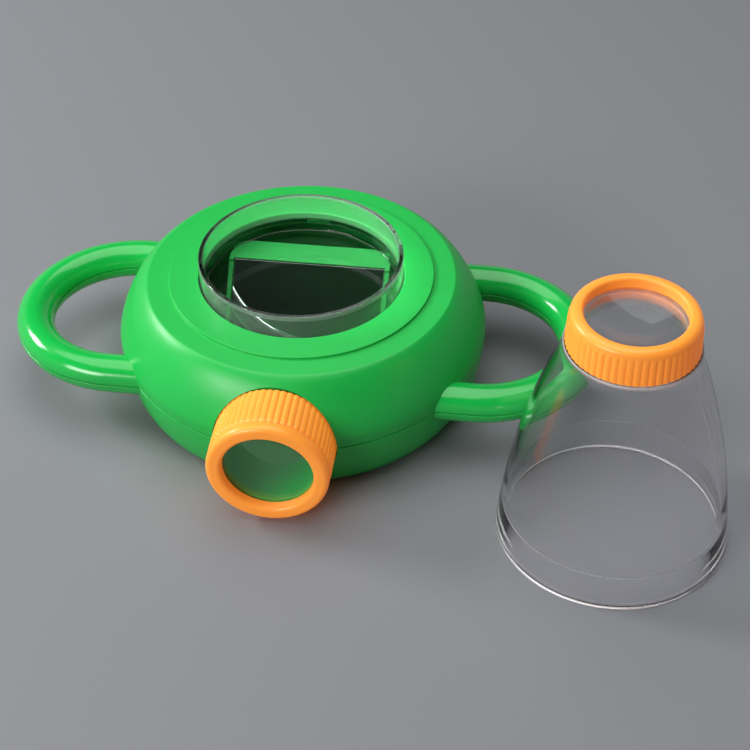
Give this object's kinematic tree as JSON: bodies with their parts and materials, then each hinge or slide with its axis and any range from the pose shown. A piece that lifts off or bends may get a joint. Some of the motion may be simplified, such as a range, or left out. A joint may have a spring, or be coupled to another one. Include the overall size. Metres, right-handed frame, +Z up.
{
  "type": "handheld insect viewer with magnifiers",
  "caption": "Two-handled drum with a clear viewing dish, inner mirror and side eyepiece, and a clear magnifying cone that stands beside it.",
  "frame": {"origin": "centre of the drum's flat underside, on the surface that it stands on", "axes": "+X towards the right handle and the cone, -Y towards the side eyepiece, +Z up through the dish"},
  "size_m": [0.2558, 0.1664, 0.0903],
  "materials": {
    "green_shell": "satin moulded drum with glossy handles",
    "green_inner": "plain moulded",
    "orange_cap": "semi-gloss moulded",
    "clear_plastic": "clear polished",
    "mirror": "silvered plastic sheet",
    "foam": "adhesive foam sheet",
    "screw_steel": "zinc plated"
  },
  "bodies": {
    "base": {"upper_shell": "green_shell", "lower_shell": "green_shell", "viewing_dish": "clear_plastic", "mirror_frame": "green_inner", "mirror_plate": "mirror", "mirror_pad": "foam", "eyepiece_barrel": "green_inner", "body_screw_1": "screw_steel", "body_screw_2": "screw_steel", "body_screw_3": "screw_steel", "body_screw_4": "screw_steel", "handle_screw_left": "screw_steel", "handle_screw_right": "screw_steel", "mirror_screw_left": "screw_steel", "mirror_screw_right": "screw_steel"},
    "side_lens": {"side_lens": "clear_plastic"},
    "side_cap": {"side_lens_cap": "orange_cap"},
    "cone": {"magnifier_cone": "clear_plastic"},
    "top_lens": {"top_lens": "clear_plastic"},
    "top_cap": {"top_lens_cap": "orange_cap"}
  },
  "joints": [
    {"name": "side_lens_slide", "type": "slide", "parent": "base", "child": "side_lens", "axis": [0, -1, 0], "range_m": [0, 0.0045]},
    {"name": "side_cap_turn", "type": "hinge", "parent": "side_lens", "child": "side_cap", "pos_m": [0, -0.0576, 0.0217], "axis": [0, -1, 0], "range_deg": [0, 540]},
    {"name": "cone_lift", "type": "slide", "parent": "base", "child": "cone", "axis": [0, 0, 1], "range_m": [0, 0.1]},
    {"name": "top_lens_slide", "type": "slide", "parent": "cone", "child": "top_lens", "axis": [0, 0, 1], "range_m": [0, 0.003]},
    {"name": "top_cap_turn", "type": "hinge", "parent": "top_lens", "child": "top_cap", "pos_m": [0.11275, -0.0629, 0.0783], "axis": [0, 0, 1], "range_deg": [0, 360]}
  ],
  "couplings": [
    {"joint": "side_lens_slide", "follows": "side_cap_turn", "m_per_rad": 0.00047746},
    {"joint": "top_lens_slide", "follows": "top_cap_turn", "m_per_rad": 0.00047746}
  ]
}
